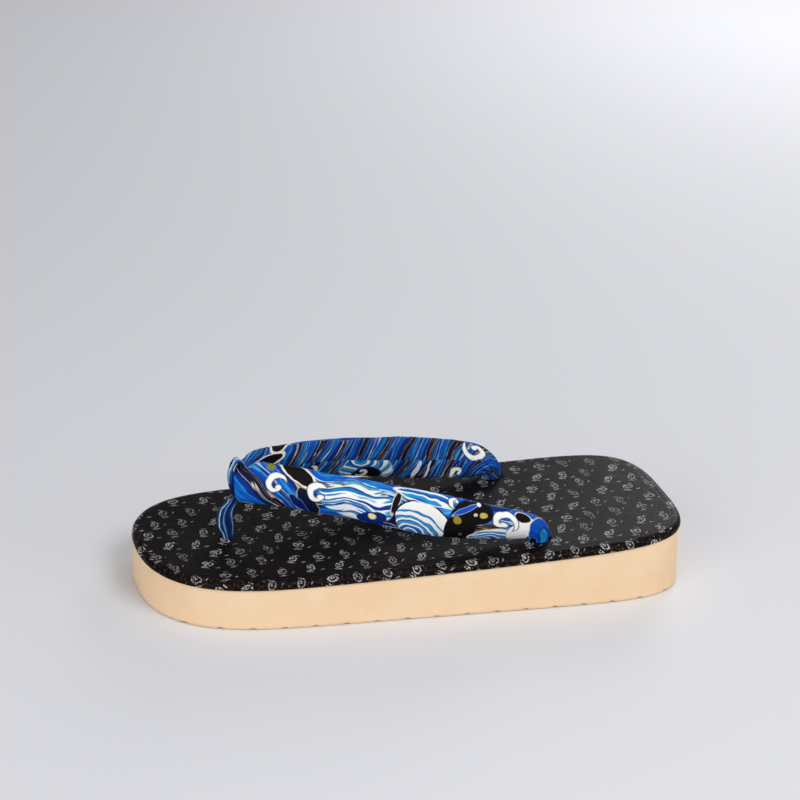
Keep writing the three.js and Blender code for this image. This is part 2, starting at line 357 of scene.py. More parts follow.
@dataclass(frozen=True)
class FoamFinish:
    """Matt moulded foam, pale peach with faint blotches and closed pores, and painted shade along its bottom
    edge.
    """

    base: str = "f2d2ab"
    light: str = "f3d6b2"
    blush: str = "f0cda4"
    speck: str = "d9b48c"
    foot_shade: str = "b79673"
    foot_shade_to: float = 2.2  # height of the painted shade along the bottom edge, in millimetres
    roughness: float = 0.72
    pore_deep: float = 0.2 * MM

    def material(self) -> bpy.types.Material:
        """Builds the foam's material."""
        made, g, shader = new_material("foam", self.roughness)
        place = g.scaled(g.node("TexCoord").outputs["Object"], (1000, 1000, 1000))
        blotch = g.noise(place, 0.045, 3.0, 0.4)
        colour = g.ramp(blotch, ((0.3, self.blush), (0.5, self.base), (0.72, self.light)))
        specks = g.between(g.noise(place, 1.6), 0.62, 0.78)
        colour = g.mix(g.times(specks, 0.12), colour, tint(self.speck))
        # painted shade: the colour darkens towards the bottom edge of the wall, broken up by noise
        low = g.between(g.split(place)[2], self.foot_shade_to, 0.2)
        foot_shading = g.times(low, g.noise(place, 0.35, 3.0))
        colour = g.mix(g.times(foot_shading, 0.5), colour, tint(self.foot_shade))
        g.feed(shader.inputs["Base Color"], colour)
        pores = g.math("ADD", g.noise(place, 2.4, 3.0), g.times(g.noise(place, 0.25), 2.0))
        g.bump(shader, pores, 0.22, self.pore_deep)
        return made


@dataclass(frozen=True)
class Stroke:
    """An oval stroke of a mark: its middle and half axes in millimetres, and its turn."""

    across: float
    along: float
    half: tuple[float, float]
    turn: float = 0.0

    def laid(self, g: Graph, effects: Effects, cell: Socket, turn: Fed) -> dict[str, Socket]:
        """The oval's field in a mark's cell, turned."""
        half = (*self.half, 1.0)
        return g.group(effects.oval, vector=cell, place=(self.across, self.along, 0.0), half=half, turn=turn)


@dataclass(frozen=True)
class CoverFinish:
    """Near-black coated cover with a lengthwise grain and small pale eyelet marks in rows."""

    black: str = "0a0809"
    base: str = "100b0c"
    brown: str = "1c1313"
    pale: str = "2e2628"
    dull: str = "171214"
    # painted shade around the pale marks
    mark_shade: str = "0c090a"
    mark: str = "d0ccca"
    flecks: tuple[tuple[float, str], ...] = ((0.42, "4c3a30"), (0.55, "7d4a35"), (0.68, "a08c78"))
    row: float = 10.2  # between rows of marks across the sole, in millimetres
    step: float = 12.8  # between marks along a row
    wobble: float = 1.3  # how far the rows and the marks' edges waver
    drift: tuple[float, float] = (2.2, 3.0)  # how far a mark strays in its cell, across and along
    eye: Stroke = Stroke(1, 0, (1.8, 2.6))
    pupil: Stroke = Stroke(1.3, 0.2, (0.7, 1.1))
    dashes: tuple[Stroke, ...] = (
        Stroke(-2.2, -1, (0.4, 2.2), 0.25), Stroke(-3.3, -0.6, (0.34, 1.6), 0.4),
        Stroke(3.8, 1.6, (0.34, 1.4), 0.3), Stroke(1.9, -4.2, (1.4, 0.34), -0.4),
    )
    roughness: tuple[float, float] = (0.29, 0.44)
    sheen: float = 0.05
    grain_deep: float = 0.2 * MM

    def marks(self, g: Graph, effects: Effects, place: Socket) -> Socket:
        """Strength of the pale marks: an eyelet ring with a pupil, and short dashes, in each cell."""
        x, y, _ = g.split(place)
        sway = g.split(g.wander(place, 0.55, 2.0))
        across = g.math("DIVIDE", g.math("MULTIPLY_ADD", sway[0], self.wobble, x), self.row)
        row = g.math("FLOOR", across)
        shift = g.times(g.math("MODULO", g.math("ADD", row, 100.0), 2.0), 0.5)
        along = g.math("DIVIDE", g.math("MULTIPLY_ADD", sway[1], self.wobble, y), self.step)
        along = g.math("ADD", along, shift)
        spot = g.join(row, g.math("FLOOR", along))
        dice = g.node("TexWhiteNoise", {"Vector": spot}, noise_dimensions="3D")
        luck = g.split(dice.outputs["Color"])
        side = g.times(g.math("SUBTRACT", g.math("FRACT", across), 0.42), self.row)
        cell = g.join(side, g.swing(g.math("FRACT", along), self.step))
        drift = g.join(g.swing(luck[0], self.drift[0]), g.swing(luck[1], self.drift[1]))
        cell = g.vector("ADD", cell, drift)
        turn = g.times(luck[2], 6.0)
        ring = self.eye.laid(g, effects, cell, turn)["Ring"]
        band = g.math("ABSOLUTE", g.math("SUBTRACT", ring, 0.84))
        pupil = self.pupil.laid(g, effects, cell, turn)["Inside"]
        strength = g.math("MAXIMUM", g.between(band, 0.2, 0.1), g.between(pupil, 0.0, 0.2))
        swung = g.turned(cell, g.times(luck[1], 1.2))
        for dash in self.dashes:
            inside = dash.laid(g, effects, swung, dash.turn)["Inside"]
            strength = g.math("MAXIMUM", strength, g.between(inside, 0.0, 0.15))
        broken = g.between(g.noise(place, 1.1), 0.4, 0.54)
        return g.times(g.times(strength, broken), g.math("MULTIPLY_ADD", luck[1], 0.6, 0.4))

    def material(self, effects: Effects) -> bpy.types.Material:
        """Builds the cover's material."""
        made, g, shader = new_material("cover")
        place = g.cloth()
        cloudy = g.noise(place, 0.035, 3.0)
        colour = g.ramp(cloudy, ((0.32, self.black), (0.5, self.base), (0.7, self.brown)))
        x, y, _ = g.split(place)
        grain = g.noise(g.join(g.times(x, 1.25), g.times(y, 0.2)), 1.0, 3.0)
        colour = g.mix(g.times(g.between(grain, 0.6, 0.72), 0.75), colour, tint(self.pale))
        colour = g.mix(g.times(g.between(grain, 0.4, 0.3), 0.5), colour, tint(self.dull))
        rim = g.node("Attribute", attribute_name="rim").outputs["Fac"]
        fleck = g.times(g.between(g.noise(place, 0.75, 3.0), 0.56, 0.66), rim)
        colour = g.mix(g.times(fleck, 0.55), colour, g.ramp(g.noise(place, 0.4, 1.0), self.flecks))
        marks = self.marks(g, effects, place)
        # painted shade: a dark band along the soft edge of each pale mark
        edge = g.math("SUBTRACT", marks, g.math("POWER", marks, 2.0))
        colour = g.mix(g.times(edge, 0.4), colour, tint(self.mark_shade))
        colour = g.mix(g.times(marks, 0.85), colour, tint(self.mark))
        g.feed(shader.inputs["Base Color"], colour)
        g.feed(shader.inputs["Roughness"], g.between(grain, 0.3, 0.7, *self.roughness))
        shader.inputs["Specular IOR Level"].default_value = self.sheen
        tooth = g.math("ADD", g.times(grain, 1.5), g.noise(place, 1.9))
        g.bump(shader, g.math("ADD", tooth, g.times(marks, 0.8)), 0.35, self.grain_deep)
        return made


def weave_cloth(
    g: Graph, effects: Effects, shader: bpy.types.Node, chart: Socket, creases: tuple[float, float],
    strength: float,
) -> None:
    """Gives a shader the weave, the creases and the low sheen of cotton.

    Args:
        g: the material's graph.
        effects: the shared effects.
        shader: its Principled BSDF.
        chart: place on the cloth in millimetres.
        creases: how fine and how strong the creases are.
        strength: how strong both show.
    """
    threads = g.group(effects.weave, vector=chart, pitch=THREAD)["Height"]
    height = g.math("ADD", threads, g.times(g.noise(chart, creases[0], 3.0), creases[1]))
    g.bump(shader, height, strength, 0.15 * MM)
    shader.inputs["Specular IOR Level"].default_value = 0.12


@dataclass(frozen=True)
class Oval:
    """A filled oval in the print: its middle and half axes in millimetres, turn in degrees and colours."""

    along: float
    across: float
    half: tuple[float, float]
    turn: float
    fill: str
    edge: str
    rim: float = 0.5
    arcs: float = 0.0  # how closely arc lines follow each other over it, none at 0


@dataclass(frozen=True)
class Curl:
    """A curl in the print: its middle and size in millimetres, turn and sweep in degrees."""

    along: float
    across: float
    size: float
    turn: float
    hand: float = 1.0
    sweep: float = 200.0
    edge: str = "1b1c4a"


@dataclass(frozen=True)
class PrintFinish:
    """Printed cotton: flowing bands in blues with domes, curls and dots laid over them."""

    roughness: float = 0.6
    depth: float = 1.15  # gamma of the dyes, over 1 for deeper blues
    blue_repeat: float = 19.0  # width of the blue bands' repeat, in millimetres
    foam_repeat: float = 15.0
    curl_body: tuple[tuple[float, str], ...] = ((0.0, "b8bcc0"), (0.5, "efeee8"), (1.0, "fbfbf9"))
    blues: tuple[tuple[float, str], ...] = (
        (0.0, "0f66c8"), (0.08, "2f9ee0"), (0.1, "0e50ae"), (0.19, "0c3c8c"), (0.26, "0a2460"),
        (0.285, "e9e2cf"), (0.3, "121a4a"), (0.38, "1a1640"), (0.395, "a99a74"), (0.41, "110b1a"),
        (0.495, "15143a"), (0.515, "cdc4b0"), (0.53, "0f3a90"), (0.62, "0f64c4"), (0.7, "4fb6e4"),
        (0.72, "0d4ea4"), (0.8, "0b3282"), (0.865, "d6ecf6"), (0.88, "1168c8"), (1.0, "0f66c8"),
    )
    foams: tuple[tuple[float, str], ...] = (
        (0.0, "fafafa"), (0.05, "fafafa"), (0.07, "2a9ccf"), (0.16, "0f60b2"), (0.2, "0c3078"),
        (0.22, "eef2f4"), (0.28, "f4f3ee"), (0.3, "122038"), (0.315, "6cc6de"), (0.38, "1688c8"),
        (0.46, "0e5aa8"), (0.48, "f3f1ea"), (0.54, "f0f3f6"), (0.56, "2fa0d4"), (0.62, "0f5cb8"),
        (0.66, "0d3a88"), (0.68, "fafafa"), (0.71, "14244c"), (0.73, "137ac8"), (0.8, "5cc0e0"),
        (0.82, "f6f6f4"), (0.88, "f1f3f2"), (0.9, "0f50ae"), (0.96, "0d3c8c"), (0.98, "4aa8d6"),
        (1.0, "fafafa"),
    )
    domes: tuple[tuple[float, str], ...] = (
        (0.0, "0f4cae"), (0.05, "2f9ad4"), (0.09, "2f9ad4"), (0.1, "f2f4f2"), (0.125, "f2f4f2"),
        (0.135, "0e3c96"), (0.17, "1a7ccc"), (0.2, "1a7ccc"), (0.21, "f2f4f2"), (0.24, "f2f4f2"),
        (0.25, "10306c"), (0.265, "5cb8dc"), (0.31, "1c74c4"), (0.33, "1458bc"), (0.34, "f2f4f2"),
        (0.38, "f2f4f2"), (0.39, "14244c"), (0.4, "4aa8d6"), (0.45, "1f84c8"), (0.46, "f4f4f0"),
        (0.53, "f4f4f0"), (0.54, "2a86c6"), (0.57, "2a86c6"), (0.58, "f4f4f0"), (1.0, "f4f4f2"),
    )
    patches: tuple[Oval, ...] = (
        Oval(32.5, -5, (3.6, 8), 30, "10143e", "b9ad88", 0.25),
        Oval(28.5, -6.5, (1.8, 6), 42, "14206a", "5c94cc", 0.25),
        Oval(27, 8.6, (8.6, 3.6), -32, "140c0d", "f1ead8", 0.7),
        Oval(61.5, -6.6, (6.4, 3.4), 14, "102f80", "102f80", 0.2),
        Oval(71.5, 3.4, (1.4, 5.6), -12, "1a1212", "d8cbb0", 0.4),
        Oval(84, -4, (12.5, 9.5), -8, "f2f4f4", "1a1424", 0.6, 0.45),
        Oval(86, 8.2, (14, 2.6), -5, "1450b8", "e9eef2", 0.4, 0.12),
        Oval(101.5, -2, (6.4, 13), -14, "140c0d", "1d2a6a", 0.4),
        Oval(109, 6, (6.6, 6), 10, "140c0d", "140c0d", 0.1),
        Oval(103, 6.6, (6.5, 0.9), 36, "2058c4", "8fb4dc", 0.25),
        Oval(117, -6.4, (11, 5), 14, "2a86c6", "efe6cf", 0.4, 0.33),
        Oval(129.5, -2, (6, 8), -16, "fafafa", "9fa8a8", 0.3),
        Oval(133.5, 3, (3.4, 6), 24, "fafafa", "fafafa", 0.1),
        Oval(129.5, 8.2, (3.4, 2.4), -30, "140d10", "e7dfc9", 0.4),
        Oval(141, 2, (7.5, 11), 16, "0f5cc0", "d9cfae", 0.3),
        Oval(144, 4, (5.5, 4), -24, "2f9ad4", "0c2a60", 0.4),
        Oval(143, -7, (5, 3.2), 20, "0e1430", "8fc4e0", 0.3),
    )
    inner: tuple[Oval, ...] = (
        Oval(8, 17, (6, 3), 14, "f2f4f4", "2a66c4", 0.5, 0.4),
        Oval(17, 18, (7.5, 2.6), -12, "140c0d", "f1ead8", 0.6),
        Oval(73, -17.5, (14, 7.5), 0, "12408c", "9fc4dc", 0.4, 0.34),
        Oval(74, -15, (7.5, 4.4), 0, "141018", "3a6ea8", 0.4),
        Oval(100, -17, (1.2, 6), 18, "e8edf0", "3a6ea8", 0.3),
        Oval(106, -17, (0.7, 6), 14, "dfe6ec", "1d2f74", 0.3),
    )
    dots: tuple[Oval, ...] = (
        Oval(15, 9.2, (1.6, 1.6), 0, "8f8a35", "2a66c4", 0.3),
        Oval(61, -5.8, (1.7, 1.7), 0, "f1eccb", "cdb25a", 0.4),
        Oval(99.5, 0.8, (1.9, 1.8), 0, "a5953c", "5a5020", 0.3),
        Oval(107.6, 5.2, (0.9, 0.9), 0, "e3c9b4", "3a2a20", 0.3),
        Oval(111.4, 5.4, (1.7, 1.6), 0, "cdb872", "5a5020", 0.3),
        Oval(109, 10.6, (1.1, 1.1), 0, "f4f4f2", "3a2a60", 0.3),
        Oval(102, -6.5, (0.9, 0.9), 0, "6d6630", "2a2416", 0.3),
    )
    curls: tuple[Curl, ...] = (
        Curl(18, 1.4, 5.0, 170, -1, 300),
        Curl(37.0, 0.2, 5.6, 150, -1, 250),
        Curl(98, 8.8, 3.4, 200, 1, 200),
        Curl(121, 3.8, 6.2, 120, -1, 320, "14101c"),
        Curl(131, 17.0, 5.6, 60, 1, 330),
        Curl(71, -16.4, 3.4, 60, 1, 240, "1d2f74"),
        Curl(122, -15.6, 4.4, 200, -1, 240),
        Curl(42, -16.5, 4.6, 20, -1, 270),
    )

    def flow(self, g: Graph, effects: Effects, along: Socket, across: Socket) -> tuple[Socket, Socket]:
        """Level that the bands follow, and their streaks with painted shade on the inner face.

        The bands run one way over the outer face and another over the inner one, and the two meet at a
        wavy line on the strap's edges.

        Args:
            g: the material's graph.
            effects: the shared effects.
            along: distance from the bend, in millimetres.
            across: distance round from the middle of the outer face.

        Returns:
            The level and the streaks' value, lowered on the inner face as painted shade.
        """
        base = g.join(along, across)
        warp = g.swing(g.noise(base, 0.045, 1.0), 15.0)
        outer = g.math("ADD", across, g.times(g.math("SMOOTH_MIN", along, 36.0, 14.0), 0.8))
        inner = g.math("MULTIPLY_ADD", along, 1.5, g.times(across, 0.95))
        edge = g.math("MULTIPLY_ADD", g.noise(base, 0.12, 1.0), 5.0, g.math("ABSOLUTE", across))
        tucked = g.between(edge, 14.2, 14.6)
        level = g.math("MULTIPLY_ADD", g.math("SUBTRACT", inner, outer), tucked, g.math("ADD", outer, warp))
        run = g.math("MULTIPLY_ADD", g.math("SUBTRACT", across, along), tucked, along)
        drawn = g.join(g.times(run, 0.035), g.times(level, 0.3))
        level = g.math("ADD", level, g.swing(g.noise(drawn, 1.0, 3.0), 11.0))
        streaks = g.group(effects.brush, vector=g.join(run, level), fine=1.5, amount=1.5)["Value"]
        # painted shade: the streaks' value is lowered by 28 percent on the inner face
        return level, g.times(streaks, g.math("MULTIPLY_ADD", tucked, -0.28, 1.0))

    def lay_oval(self, g: Graph, effects: Effects, base: Socket, colour: Socket, oval: Oval) -> Socket:
        """Lays one oval over a colour, with its rim and its arc lines."""
        half = (*oval.half, 1.0)
        turn = math.radians(oval.turn)
        middle = (oval.along, oval.across, 0.0)
        inside = g.group(effects.oval, vector=base, place=middle, half=half, turn=turn)["Inside"]
        fill: Fed = tint(oval.fill)
        if oval.arcs:
            centre = (oval.along - oval.half[0] * 0.35, oval.across - oval.half[1] * 0.7, 0.0)
            rings = g.group(effects.oval, vector=base, place=centre, half=half, turn=turn)["Ring"]
            drift = g.swing(g.noise(base, 0.12, 1.0), 0.35)
            fill = g.ramp(g.times(g.math("ADD", rings, drift), oval.arcs), self.domes)
        rim = g.between(inside, -oval.rim - OVAL_BLUR, -oval.rim + OVAL_BLUR)
        return g.mix(g.between(inside, -OVAL_BLUR, OVAL_BLUR), g.mix(rim, colour, tint(oval.edge)), fill)

    def lay_curl(self, g: Graph, effects: Effects, base: Socket, colour: Socket, curl: Curl) -> Socket:
        """Lays one pale curl over a colour, with a thin dark edge and a grey inner side."""
        inside = g.group(
            effects.curl, vector=base, place=(curl.along, curl.across, 0.0), size=curl.size,
            turn=math.radians(curl.turn), hand=curl.hand, sweep=math.radians(curl.sweep),
        )["Inside"]
        colour = g.mix(g.between(inside, -0.42, -0.22), colour, tint(curl.edge))
        body = g.ramp(g.between(inside, 0.0, 0.7), self.curl_body)
        return g.mix(g.between(inside, -0.15, 0.1), colour, body)

    def material(self, effects: Effects) -> bpy.types.Material:
        """Builds the strap's printed cloth, the same on both arms."""
        made, g, shader = new_material("print", self.roughness)
        chart = g.cloth()
        along, across, _ = g.split(chart)
        along = g.math("ABSOLUTE", along)
        spot = g.join(along, across)
        sway = g.vector("MULTIPLY", g.wander(spot, 0.16, 1.0), (2.4, 2.4, 0.0))
        base = g.vector("ADD", spot, sway)
        level, streaks = self.flow(g, effects, along, across)
        blues = g.ramp(g.math("FRACT", g.math("DIVIDE", level, self.blue_repeat)), self.blues)
        foams = g.ramp(g.math("FRACT", g.math("DIVIDE", level, self.foam_repeat)), self.foams)
        surf = g.group(effects.oval, vector=base, place=(54.0, 0.2, 0.0), half=(17.0, 9.9, 1.0), turn=-0.08)
        # the blues carry the streaks and the painted shade on the inner face
        colour = g.mix(g.between(surf["Inside"], -0.4, 0.4), g.shaded(blues, streaks), foams)
        for oval in (*self.patches, *self.inner):
            colour = self.lay_oval(g, effects, base, colour, oval)
        for curl in self.curls:
            colour = self.lay_curl(g, effects, base, colour, curl)
        for dot in self.dots:
            colour = self.lay_oval(g, effects, base, colour, dot)
        dyed = g.node("Gamma", {"Color": colour, "Gamma": self.depth})
        g.feed(shader.inputs["Base Color"], dyed.outputs[0])
        weave_cloth(g, effects, shader, chart, (0.5, 2.5), 0.25)
        return made


@dataclass(frozen=True)
class LoopFinish:
    """Folded cotton strip in navy with pale blue streaks along its edge."""

    roughness: float = 0.6
    repeat: float = 8.0  # width of the bands' repeat, in millimetres
    stops: tuple[tuple[float, str], ...] = (
        (0.0, "dfe9f4"), (0.06, "9cc4e6"), (0.14, "1f62b0"), (0.28, "122a5e"), (0.5, "0c1636"),
        (0.66, "14407c"), (0.76, "6aa8d8"), (0.8, "123a78"), (1.0, "0e1c44"),
    )

    def material(self, effects: Effects) -> bpy.types.Material:
        """Builds the loop's cloth, which follows its own UV map."""
        made, g, shader = new_material("loop_cloth", self.roughness)
        chart = g.cloth()
        along, across, _ = g.split(chart)
        warp = g.swing(g.noise(chart, 0.16), 3.0)
        level = g.math("ADD", g.math("MULTIPLY_ADD", along, 0.05, across), warp)
        colour = g.ramp(g.math("FRACT", g.math("DIVIDE", level, self.repeat)), self.stops)
        streaks = g.group(effects.brush, vector=g.join(along, level), fine=2.4, amount=1.1)["Value"]
        g.feed(shader.inputs["Base Color"], g.shaded(colour, streaks))
        weave_cloth(g, effects, shader, chart, (0.8, 2.0), 0.3)
        return made


# ---- Mesh tools ----


def skin(across: int, along: int, place: Place, chart: Place | None = None) -> bmesh.types.BMesh:
    """A grid wrapped into a closed surface: meeting edges are joined and open ends filled.

    Args:
        across: faces over the first share.
        along: faces over the second share.
        place: position for a pair of shares, each 0 to 1.
        chart: where that pair lies on the cloth, kept as the UV map "Cloth".

    Returns:
        The mesh, its faces outwards.
    """
    bm = bmesh.new()
    bmesh.ops.create_grid(bm, x_segments=across, y_segments=along, size=1)
    reach = max(v.co.x for v in bm.verts)
    shares = {v: ((v.co.x / reach + 1) / 2, (v.co.y / reach + 1) / 2) for v in bm.verts}
    if chart:
        layer = bm.loops.layers.uv.new("Cloth")
        for face in bm.faces:
            for loop in face.loops:
                loop[layer].uv = chart(*shares[loop.vert]).xy
    for vert, share in shares.items():
        vert.co = place(*share)
    bmesh.ops.remove_doubles(bm, verts=bm.verts[:], dist=1e-6)
    bmesh.ops.holes_fill(bm, edges=[e for e in bm.edges if e.is_boundary])
    bmesh.ops.recalc_face_normals(bm, faces=bm.faces[:])
    return bm


def slice_by(bm: bmesh.types.BMesh, way: Vector, cuts: Sequence[float]) -> None:
    """Cuts a mesh by upright planes, so that its flat faces can take up curves.

    Args:
        bm: the mesh.
        way: the direction the planes face.
        cuts: how far along it each plane is.
    """
    for cut in cuts:
        geometry = bm.verts[:] + bm.edges[:] + bm.faces[:]
        bmesh.ops.bisect_plane(bm, geom=geometry, dist=1e-5, plane_co=way * cut, plane_no=way)
    bmesh.ops.triangulate(bm, faces=[f for f in bm.faces if len(f.verts) > 4])


def piece_from(
    bm: bmesh.types.BMesh, name: str, material: bpy.types.Material, crease: float
) -> bpy.types.Object:
    """Makes a finished mesh a piece.

    Args:
        bm: the mesh, which is freed.
        name: the piece's name.
        material: its finish.
        crease: angle in degrees over which an edge stays sharp.

    Returns:
        The object, at the origin.
    """
    mesh = bpy.data.meshes.new(name)
    bm.to_mesh(mesh)
    bm.free()
    mesh.materials.append(material)
    mesh.shade_smooth()
    mesh.set_sharp_from_angle(angle=math.radians(crease))
    piece = bpy.data.objects.new(name, mesh)
    bpy.context.scene.collection.objects.link(piece)
    return piece


def drill(piece: bpy.types.Object, cutters: Sequence[bpy.types.Object], crease: float) -> None:
    """Cuts solids out of a piece and removes them."""
    for cutter in cutters:
        hole = piece.modifiers.new("hole", "BOOLEAN")
        hole.operation, hole.solver, hole.object = "DIFFERENCE", "EXACT", cutter
    bpy.context.view_layer.update()
    cut = piece.evaluated_get(bpy.context.evaluated_depsgraph_get())
    mesh = bpy.data.meshes.new_from_object(cut)
    piece.modifiers.clear()
    piece.data = mesh
    mesh.set_sharp_from_angle(angle=math.radians(crease))
    for cutter in cutters:
        bpy.data.objects.remove(cutter)


def hand_in(piece: bpy.types.Object, node: str, slot: Slot) -> None:
    """Rides a finished piece on the body in place of its CAD solid, and logs it."""
    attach(piece, "root")
    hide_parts(node)
    log.info("%s: %d faces, for %s", piece.name, len(piece.data.polygons), node)


# ---- The sole's form ----


@dataclass(frozen=True)
class SoleForm:
    """Outline and heights that the foam and the footbed share."""

    length: float
    width: float
    middle: float  # where the middle of the footbed's length is
    widest_at: float = 30 * MM
    toe_round: tuple[float, float] = (4.4, 2.3)
    heel_round: tuple[float, float] = (9.3, 3.4)
    toe_height: float = 19.5 * MM
    heel_height: float = 29.7 * MM
    sag: float = 2.5 * MM
    cover: float = 3.7 * MM  # the footbed's thickness
    toe_rake: float = 0.03
    heel_rake: float = 0.1

    @classmethod
    def from_frame(cls) -> "SoleForm":
        """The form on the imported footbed's length, width and place."""
        low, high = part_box("footbed")
        return cls(high.y - low.y, high.x - low.x, (high.y + low.y) / 2)

    def back(self, y: float) -> float:
        """Share of the length from the toe's tip to a place."""
        return min(max(0.5 - (y - self.middle) / self.length, 0.0), 1.0)

    def foam_top(self, y: float) -> float:
        """Height of the foam's top."""
        back = self.back(y)
        line = self.toe_height + (self.heel_height - self.toe_height) * back
        return line - self.sag * 4 * back * (1 - back)

    def raked(self, y: float, z: float) -> float:
        """Where a wall point at a height lies, as the walls lean back."""
        rake = self.toe_rake + (self.heel_rake - self.toe_rake) * self.back(y)
        return y - rake * (self.foam_top(y) - z)

    def rim_point(self, turn: float) -> Vector:
        """Point of the outline at a share of the way round, anticlockwise from the right side."""
        quarter = int(turn * 4) % 4
        rest = turn * 4 % 1
        rising = rest if quarter % 2 == 0 else 1 - rest
        ahead = quarter < 2
        along, across = self.toe_round if ahead else self.heel_round
        reach = self.length / 2 - self.widest_at if ahead else self.length / 2 + self.widest_at
        whole = rising**along + (1 - rising) ** across
        side = self.width / 2 * (1 - rising) / whole ** (1 / across)
        fore = reach * rising / whole ** (1 / along)
        left = quarter in (1, 2)
        return Vector((-side if left else side, self.middle + self.widest_at + (fore if ahead else -fore)))

    def outline(self, count: int) -> tuple[list[Vector], list[Vector]]:
        """Evenly spaced points of the outline and the way inwards at each.

        Args:
            count: how many points.

        Returns:
            The points and the inward directions.
        """
        fine = [self.rim_point(i / (count * 8)) for i in range(count * 8)]
        lengths = [(fine[(i + 1) % len(fine)] - p).length for i, p in enumerate(fine)]
        step, done, points = sum(lengths) / count, 0.0, []
        for i, size in enumerate(lengths):
            while len(points) < count and len(points) * step <= done + size:
                share = (len(points) * step - done) / size
                points.append(fine[i].lerp(fine[(i + 1) % len(fine)], share))
            done += size
        inwards = []
        for i in range(count):
            run = (points[(i + 1) % count] - points[i - 1]).normalized()
            inwards.append(Vector((-run.y, run.x)))
        return points, inwards


POST_SIDES = 40


def oval_post(
    name: str, middle: Vector, half: Vector, rows: Sequence[tuple[float, float]]
) -> bpy.types.Object:
    """An upright oval solid to cut a hole with.

    Args:
        name: its name.
        middle: where it stands.
        half: its half axes.
        rows: height and extra half width of each ring, from the bottom.

    Returns:
        The solid.
    """

    def place(turn: float, share: float) -> Vector:
        height, spare = rows[round(share * (len(rows) - 1))]
        angle = turn * math.tau
        side, fore = (half.x + spare) * math.cos(angle), (half.y + spare) * math.sin(angle)
        return Vector((middle.x + side, middle.y + fore, height))

    bm = skin(POST_SIDES, len(rows) - 1, place)
    mesh = bpy.data.meshes.new(name)
    bm.to_mesh(mesh)
    bm.free()
    post = bpy.data.objects.new(name, mesh)
    bpy.context.scene.collection.objects.link(post)
    return post


@dataclass
class Holes:
    """The three holes that the strap's ends and the toe post go down."""

    form: SoleForm
    strap_hole: tuple[float, float] = (32 * MM, -51.5 * MM)
    strap_half: tuple[float, float] = (3.1 * MM, 5.3 * MM)
    post_hole: tuple[float, float] = (0.0, 84.9 * MM)
    post_half: tuple[float, float] = (3 * MM, 3.1 * MM)
    deep: float = 9 * MM
    dip: float = 0.45 * MM

    def cutters(self) -> list[bpy.types.Object]:
        """Builds a cutter for each hole, flared where the cover dips in."""
        side, fore = self.strap_hole
        spots = [
            (Vector((side, fore)), Vector(self.strap_half)),
            (Vector((-side, fore)), Vector(self.strap_half)),
            (Vector(self.post_hole), Vector(self.post_half)),
        ]
        made = []
        for i, (spot, half) in enumerate(spots):
            spot.y += self.form.middle
            foam = self.form.foam_top(spot.y)
            top = foam + self.form.cover
            flare = ((-1.6, 0.0), (-0.6, 0.3), (0.0, 1.0), (1.0, 3.0))
            rows = [(top + self.dip * rise, self.dip * spare) for rise, spare in flare]
            made.append(oval_post(f"hole_{i}", spot, half, [(foam - self.deep, 0.0), *rows]))
        return made


@dataclass
class FoamWedge:
    """The foam sole: raked walls, eased edges and shallow grooves across its underside."""

    form: SoleForm
    finish: FoamFinish = FoamFinish()
    around: int = 360
    inset: float = 0.8 * MM
    pitch: float = 14 * MM
    groove: float = 5 * MM
    deep: float = 0.7 * MM
    reach: int = 8  # grooves ahead of the middle, and behind it
    groove_cuts: int = 6
    uneven: float = 0.16 * MM
    crease: float = 28
    # share of the wall's height and how far inside it each ring is
    rings: tuple[tuple[float, float], ...] = (
        (0.0, 1.3), (0.003, 0.7), (0.012, 0.28), (0.028, 0.06), (0.05, 0.0), (0.25, 0.0), (0.5, 0.0),
        (0.75, 0.0), (0.95, 0.0), (0.985, 0.15), (1.0, 0.6),
    )

    def groove_at(self, y: float) -> float:
        """Depth of the grooves at a place."""
        off = (y - self.form.middle + self.pitch / 2) % self.pitch - self.pitch / 2
        near = abs(y - self.form.middle) < (self.reach + 0.5) * self.pitch
        if not near or abs(off) >= self.groove / 2:
            return 0.0
        return self.deep * math.cos(math.pi * off / self.groove) ** 2

    def build(self) -> bpy.types.Object:
        """Builds the foam and hands it in."""
        points, inwards = self.form.outline(self.around)

        def place(turn: float, share: float) -> Vector:
            height, inset = self.rings[round(share * (len(self.rings) - 1))]
            i = round(turn * self.around) % self.around
            spot = points[i] + inwards[i] * (self.inset + inset * MM)
            return Vector((spot.x, spot.y, height))

        bm = skin(self.around, len(self.rings) - 1, place)
        fine = [(i / self.groove_cuts - 0.5) * self.groove for i in range(self.groove_cuts + 1)]
        grooves = [self.form.middle + i * self.pitch for i in range(-self.reach, self.reach + 1)]
        cuts = [groove + part for groove in grooves for part in fine]
        cuts += [self.form.middle + (i + 0.5) * self.pitch for i in range(-self.reach - 1, self.reach + 1)]
        slice_by(bm, Vector((0, 1, 0)), cuts)
        slice_by(bm, Vector((1, 0, 0)), [i * 9 * MM for i in range(-5, 6)])
        for vert in bm.verts:
            x, y, share = vert.co
            foot = self.groove_at(y)
            z = foot + (self.form.foam_top(y) - foot) * share
            wave = noise.noise(Vector((x * 26, y * 26, z * 40))) * self.uneven * min(share * 4, 1.0)
            out = Vector((x, (y - self.form.middle) * 0.25)).normalized() * wave
            vert.co = (x + out.x, self.form.raked(y, z) + out.y, z)
        piece = piece_from(bm, "foam_wedge", self.finish.material(), self.crease)
        drill(piece, Holes(self.form).cutters(), self.crease)
        hand_in(piece, "sole", Slot.FOAM)
        return piece


